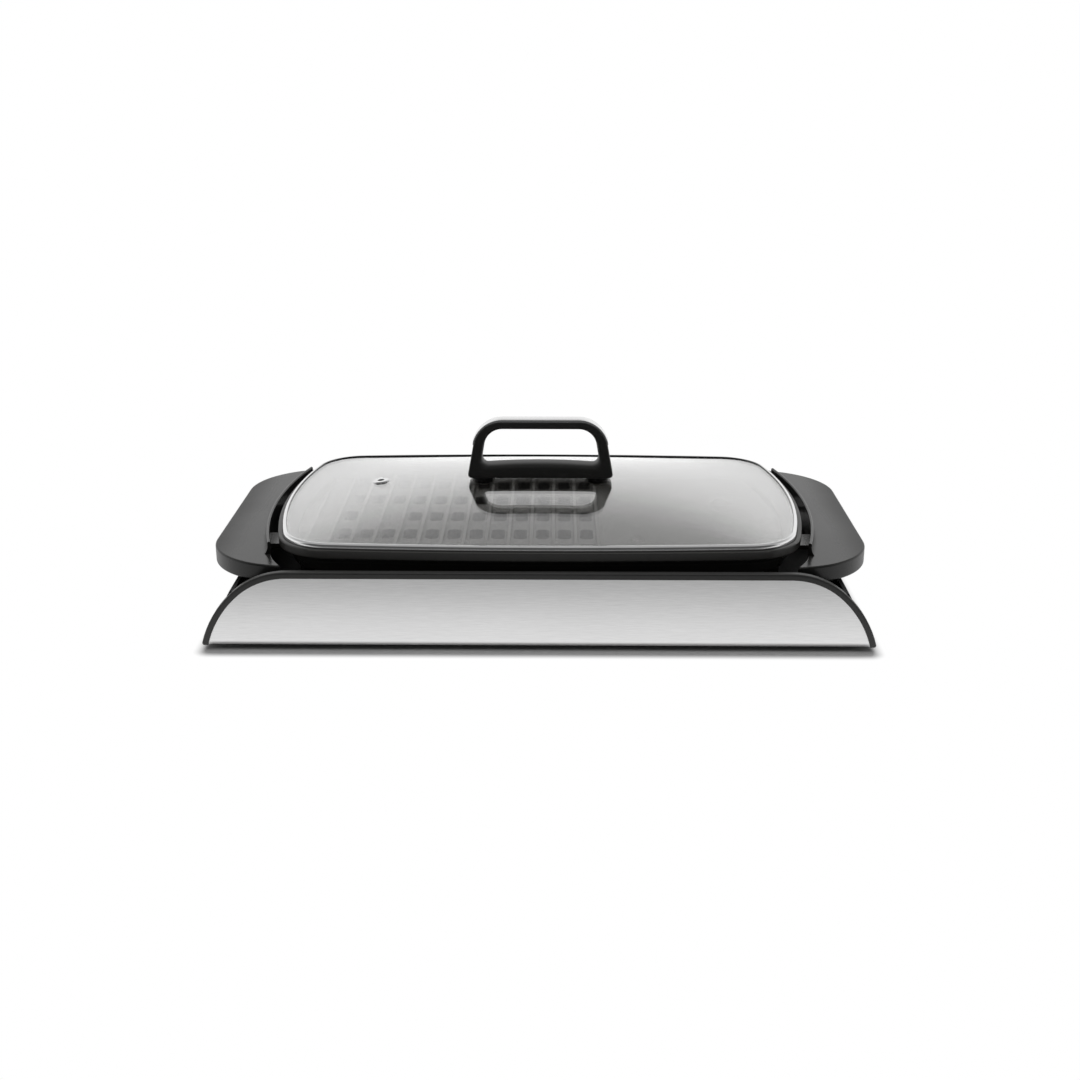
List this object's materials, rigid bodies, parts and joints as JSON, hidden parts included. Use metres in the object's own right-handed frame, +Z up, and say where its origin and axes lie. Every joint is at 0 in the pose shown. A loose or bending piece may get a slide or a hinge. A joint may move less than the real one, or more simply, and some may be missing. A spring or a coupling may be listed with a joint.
{
  "type": "smokeless grill",
  "caption": "Tabletop electric grill with a ribbed and slotted cast plate, wing handles, a drip tray in an arched steel-faced base, and a loose domed glass lid with a loop handle.",
  "frame": {"origin": "middle of the footprint, on the table under the rubber feet", "axes": "+X along the grill towards the inlet end, -Y towards the front panel in the picture, +Z up"},
  "size_m": [0.526, 0.3, 0.1487],
  "materials": {
    "tub_plastic": "black, finely grained moulded plastic",
    "frame_plastic": "dark grey satin moulding",
    "wing_plastic": "mid-grey, finely grained heat-resisting plastic",
    "panel_steel": "brushed along its length",
    "screw_steel": "plain zinc-plated",
    "foot_rubber": "matt black",
    "pad_rubber": "matt dark silicone",
    "tray_enamel": "black enamel",
    "plate_coating": "cast, with a black non-stick coat",
    "element_sheath": "dull heat-tinted tube",
    "insulator_glaze": "off-white glazed ceramic",
    "pin_plating": "bright nickel plate",
    "shroud_steel": "bare sheet steel",
    "lid_glass": "clear toughened glass",
    "rim_steel": "polished rolled steel",
    "loop_plastic": "black, softly glossy",
    "strip_chrome": "bright strip"
  },
  "bodies": {
    "base": {"base_tub": "tub_plastic", "front_frame": "frame_plastic", "rear_frame": "frame_plastic", "front_panel": "panel_steel", "rear_panel": "panel_steel", "frame_screws": "screw_steel", "rubber_feet": "foot_rubber", "foot_screws": "screw_steel", "support_pads": "pad_rubber"},
    "tray": {"drip_tray": "tray_enamel"},
    "grill": {"grill_plate": "plate_coating", "plate_rim": "plate_coating", "plate_legs": "plate_coating", "inlet_block": "plate_coating", "heating_element": "element_sheath", "terminal_insulators": "insulator_glaze", "terminal_pins": "pin_plating", "terminal_shroud": "shroud_steel", "shroud_screws": "screw_steel", "left_handle": "wing_plastic", "right_handle": "wing_plastic", "handle_screws": "screw_steel"},
    "lid": {"lid_glass": "lid_glass", "lid_brim": "lid_glass", "lid_rim": "rim_steel", "steam_vent": "rim_steel", "lid_handle": "loop_plastic", "lid_handle_trim": "strip_chrome", "lid_handle_pads": "pad_rubber", "lid_handle_washers": "pad_rubber", "lid_handle_screws": "screw_steel"}
  },
  "joints": [
    {"name": "plate_lift", "type": "slide", "parent": "base", "child": "grill", "axis": [0, 0, 1], "range_m": [0, 0.16]},
    {"name": "tray_lift", "type": "slide", "parent": "base", "child": "tray", "axis": [0, 0, 1], "range_m": [0, 0.072]},
    {"name": "lid_lift", "type": "slide", "parent": "grill", "child": "lid", "axis": [0, 0, 1], "range_m": [0, 0.12]}
  ],
  "couplings": [
    {"joint": "tray_lift", "follows": "plate_lift", "ratio": 0.45}
  ]
}
